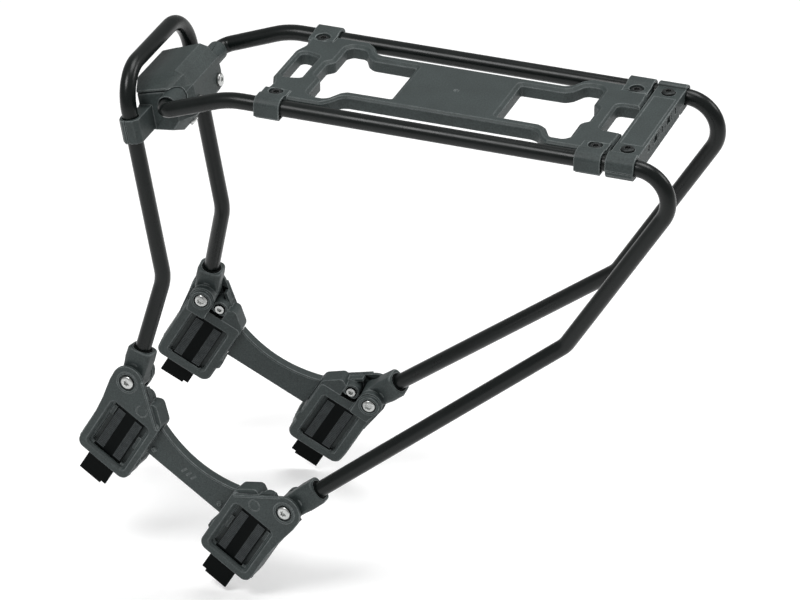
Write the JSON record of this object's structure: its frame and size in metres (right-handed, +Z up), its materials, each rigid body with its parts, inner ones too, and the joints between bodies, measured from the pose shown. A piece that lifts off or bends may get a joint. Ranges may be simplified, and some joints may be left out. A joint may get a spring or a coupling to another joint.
{
  "type": "bicycle rear rack",
  "caption": "Tubular rear bicycle rack with a plastic deck, a sliding front hoop and strap clamps that hold it on the seat stays.",
  "frame": {"origin": "middle of the deck plate's top face, held there by the bicycle", "axes": "+X to the rear of the bicycle along the rails, +Y to its right, +Z up; the rack is symmetric about Y = 0"},
  "size_m": [0.4592, 0.2032, 0.405],
  "materials": {
    "grey_plastic": "dark grey glass-filled plastic, fine moulded grain",
    "grey_cover": "slightly lighter grey moulded cover, fine grain",
    "black_tube": "satin black powder coat",
    "bright_steel": "bright zinc or stainless steel",
    "black_screw": "black oxide",
    "black_band": "black ribbed nylon band",
    "dark_sleeve": "black lining at the tube ends"
  },
  "bodies": {
    "frame": {"side_tube_left": "black_tube", "side_tube_right": "black_tube", "deck_plate": "grey_plastic", "deck_clip_front_left": "grey_plastic", "deck_clip_front_right": "grey_plastic", "deck_clip_rear_left": "grey_plastic", "deck_clip_rear_right": "grey_plastic", "deck_screw_front_left": "black_screw", "deck_screw_front_right": "black_screw", "deck_screw_rear_left": "black_screw", "deck_screw_rear_right": "black_screw", "light_bracket": "grey_plastic", "bracket_clip_left": "grey_plastic", "bracket_clip_right": "grey_plastic", "bracket_screw_left": "black_screw", "bracket_screw_right": "black_screw", "rear_knuckle_left": "grey_plastic", "rear_knuckle_right": "grey_plastic", "rear_sleeve_left": "dark_sleeve", "rear_sleeve_right": "dark_sleeve"},
    "bridge": {"bridge_block": "grey_plastic", "bridge_hood": "grey_cover", "leg_clip_left": "grey_plastic", "leg_clip_right": "grey_plastic", "leg_screw_left": "black_screw", "leg_screw_right": "black_screw", "bridge_screw_upper_left": "bright_steel", "bridge_screw_upper_right": "bright_steel", "bridge_screw_lower_left": "bright_steel", "bridge_screw_lower_right": "bright_steel"},
    "hoop": {"front_hoop": "black_tube", "front_knuckle_left": "grey_plastic", "front_knuckle_right": "grey_plastic", "front_sleeve_left": "dark_sleeve", "front_sleeve_right": "dark_sleeve"},
    "link_left": {"link_bar_left": "grey_plastic", "clamp_housing_front_left": "grey_plastic", "clamp_housing_rear_left": "grey_plastic", "pivot_bolt_front_left": "bright_steel", "pivot_bolt_rear_left": "bright_steel", "pivot_nut_front_left": "bright_steel", "pivot_nut_rear_left": "bright_steel"},
    "link_right": {"link_bar_right": "grey_plastic", "clamp_housing_front_right": "grey_plastic", "clamp_housing_rear_right": "grey_plastic", "pivot_bolt_front_right": "bright_steel", "pivot_bolt_rear_right": "bright_steel", "pivot_nut_front_right": "bright_steel", "pivot_nut_rear_right": "bright_steel"},
    "screw_front_left": {"tension_screw_front_left": "bright_steel"},
    "band_front_left": {"strap_front_left": "black_band"},
    "screw_front_right": {"tension_screw_front_right": "bright_steel"},
    "band_front_right": {"strap_front_right": "black_band"},
    "screw_rear_left": {"tension_screw_rear_left": "bright_steel"},
    "band_rear_left": {"strap_rear_left": "black_band"},
    "screw_rear_right": {"tension_screw_rear_right": "bright_steel"},
    "band_rear_right": {"strap_rear_right": "black_band"}
  },
  "joints": [
    {"name": "bridge_tilt", "type": "hinge", "parent": "frame", "child": "bridge", "pos_m": [-0.20665, 0, -0.0257], "axis": [0, 1, 0], "range_deg": [-2.36, 1.19]},
    {"name": "hoop_slide", "type": "slide", "parent": "bridge", "child": "hoop", "axis": [-0.1739, 0, 0.9848], "range_m": [-0.006, 0.012]},
    {"name": "link_turn_left", "type": "hinge", "parent": "hoop", "child": "link_left", "pos_m": [-0.22905, -0.0712, -0.246], "axis": [0.0942, 0.994, -0.0548], "range_deg": [-3.6, 7.2]},
    {"name": "link_turn_right", "type": "hinge", "parent": "hoop", "child": "link_right", "pos_m": [-0.22905, 0.0712, -0.246], "axis": [-0.0942, 0.994, 0.0548], "range_deg": [-3.6, 7.2]},
    {"name": "tension_turn_front_left", "type": "hinge", "parent": "link_left", "child": "screw_front_left", "pos_m": [-0.21887, -0.07298, -0.26072], "axis": [-0.0942, -0.994, 0.0548], "range_deg": [0, 962]},
    {"name": "band_pull_front_left", "type": "slide", "parent": "link_left", "child": "band_front_left", "axis": [-0.5031, 0, -0.8643], "range_m": [0, 0.004]},
    {"name": "tension_turn_front_right", "type": "hinge", "parent": "link_right", "child": "screw_front_right", "pos_m": [-0.21887, 0.07298, -0.26072], "axis": [-0.0942, 0.994, 0.0548], "range_deg": [0, 962]},
    {"name": "band_pull_front_right", "type": "slide", "parent": "link_right", "child": "band_front_right", "axis": [-0.5031, 0, -0.8643], "range_m": [0, 0.004]},
    {"name": "tension_turn_rear_left", "type": "hinge", "parent": "link_left", "child": "screw_rear_left", "pos_m": [-0.11528, -0.08612, -0.32102], "axis": [-0.0942, -0.994, 0.0548], "range_deg": [0, 962]},
    {"name": "band_pull_rear_left", "type": "slide", "parent": "link_left", "child": "band_rear_left", "axis": [-0.5031, 0, -0.8643], "range_m": [0, 0.004]},
    {"name": "tension_turn_rear_right", "type": "hinge", "parent": "link_right", "child": "screw_rear_right", "pos_m": [-0.11528, 0.08612, -0.32102], "axis": [-0.0942, 0.994, 0.0548], "range_deg": [0, 962]},
    {"name": "band_pull_rear_right", "type": "slide", "parent": "link_right", "child": "band_rear_right", "axis": [-0.5031, 0, -0.8643], "range_m": [0, 0.004]}
  ],
  "couplings": [
    {"joint": "bridge_tilt", "follows": "hoop_slide", "rad_per_m": -3.4019},
    {"joint": "link_turn_left", "follows": "hoop_slide", "rad_per_m": 10.396},
    {"joint": "link_turn_right", "follows": "hoop_slide", "rad_per_m": 10.396},
    {"joint": "tension_turn_front_left", "follows": "band_pull_front_left", "rad_per_m": 4188.8},
    {"joint": "tension_turn_front_right", "follows": "band_pull_front_right", "rad_per_m": 4188.8},
    {"joint": "tension_turn_rear_left", "follows": "band_pull_rear_left", "rad_per_m": 4188.8},
    {"joint": "tension_turn_rear_right", "follows": "band_pull_rear_right", "rad_per_m": 4188.8}
  ]
}
